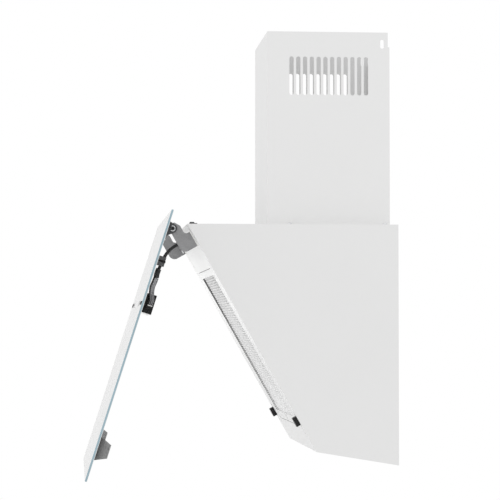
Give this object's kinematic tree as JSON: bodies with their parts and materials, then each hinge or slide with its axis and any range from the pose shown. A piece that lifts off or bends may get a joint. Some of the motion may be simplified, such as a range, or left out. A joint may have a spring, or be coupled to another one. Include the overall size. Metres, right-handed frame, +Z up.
{
  "type": "slanted wall-mounted cooker hood",
  "caption": "Slanted wall-mounted cooker hood with a glass front hinged at its top, a grease filter behind it, a blower inside and a vented chimney cover.",
  "frame": {"origin": "midway between the two wall-hanging holes, on the wall face of the back panel", "axes": "+Z up, +Y into the wall, the glass front faces -Y, X across the width"},
  "size_m": [0.598, 0.5485, 0.7946],
  "materials": {
    "side_paint": "smooth satin white powder coat",
    "chimney_paint": "smooth satin white powder coat",
    "white_paint": "smooth satin white powder coat",
    "back_sheet": "satin white powder coat",
    "zinc_steel": "zinc-plated sheet",
    "chrome": "bright plated",
    "dark_steel": "dark passivated",
    "hinge_steel": "satin nickel-plated",
    "grey_plastic": "moulded, light grey",
    "white_plastic": "moulded, white",
    "black_plastic": "moulded, black",
    "clip_plastic": "moulded, dark grey",
    "rubber": "black sleeve",
    "wire": "grey insulation",
    "motor_grey": "motor casing",
    "diffuser": "frosted",
    "mesh_aluminium": "expanded mesh",
    "white_glass": "clear float glass, painted white behind, green-grey edge",
    "sensor_strip": "laminated sensor foil",
    "circuit_board": "green circuit board"
  },
  "bodies": {
    "body": {"side_panel_right": "side_paint", "side_panel_left": "side_paint", "top_panel": "white_paint", "back_panel": "back_sheet", "bottom_panel": "white_paint", "front_panel": "white_paint", "chimney_cover": "chimney_paint", "chimney_rails": "zinc_steel", "chimney_screws": "chrome", "duct_collar": "grey_plastic", "collar_flange": "grey_plastic", "collar_screws": "chrome", "damper_pins": "chrome", "blower_housing": "zinc_steel", "inlet_ring": "zinc_steel", "motor": "motor_grey", "motor_bracket": "zinc_steel", "motor_screws": "chrome", "electronics_box": "grey_plastic", "electronics_lid": "grey_plastic", "capacitor": "white_plastic", "mains_gland": "black_plastic", "led_driver": "black_plastic", "led_bezels": "chrome", "led_lenses": "diffuser", "filter_frame": "white_paint", "filter_mesh": "mesh_aluminium", "latch_springs": "chrome", "hinge_spacers": "white_plastic", "hinge_bracket_right": "hinge_steel", "hinge_bracket_left": "hinge_steel", "bracket_screws": "chrome", "hinge_screws": "chrome", "hinge_nuts": "chrome", "hinge_washers": "white_plastic", "top_screws": "dark_steel", "magnetic_catch_right": "black_plastic", "magnetic_catch_left": "black_plastic", "cable_grommet": "rubber"},
    "glass_front": {"glass_panel": "white_glass", "hinge_leaf_right": "dark_steel", "hinge_leaf_left": "dark_steel", "strike_plate_right": "zinc_steel", "strike_plate_left": "zinc_steel", "touch_strip": "sensor_strip", "control_box": "black_plastic", "control_box_lid": "black_plastic", "control_board": "circuit_board", "control_connector": "black_plastic", "cable_clip": "clip_plastic", "control_cable": "rubber", "cable_boot": "rubber", "control_wires": "wire"},
    "impeller": {"impeller": "black_plastic", "motor_shaft": "chrome"},
    "damper_front": {"damper_flap_front": "grey_plastic"},
    "damper_rear": {"damper_flap_rear": "grey_plastic"},
    "filter_latch": {"filter_latch": "white_paint"}
  },
  "joints": [
    {"name": "glass_hinge", "type": "hinge", "parent": "body", "child": "glass_front", "pos_m": [0.199, -0.39604, 0.05245], "axis": [-1, 0, 0], "range_deg": [-47.87, 42.13], "deforming": ["control_cable"]},
    {"name": "impeller_spin", "type": "hinge", "parent": "body", "child": "impeller", "pos_m": [0, -0.115, -0.105], "axis": [1, 0, 0], "continuous": true},
    {"name": "damper_front_swing", "type": "hinge", "parent": "body", "child": "damper_front", "pos_m": [0, -0.114, 0.085], "axis": [-1, 0, 0], "range_deg": [0, 75]},
    {"name": "damper_rear_swing", "type": "hinge", "parent": "body", "child": "damper_rear", "pos_m": [0, -0.108, 0.085], "axis": [1, 0, 0], "range_deg": [0, 75]},
    {"name": "filter_latch_slide", "type": "slide", "parent": "body", "child": "filter_latch", "axis": [0, -0.4938, 0.8696], "range_m": [0, 0.004], "stiffness_N_per_m": 250, "springref_m": -0.002, "deforming": ["latch_springs"]}
  ]
}
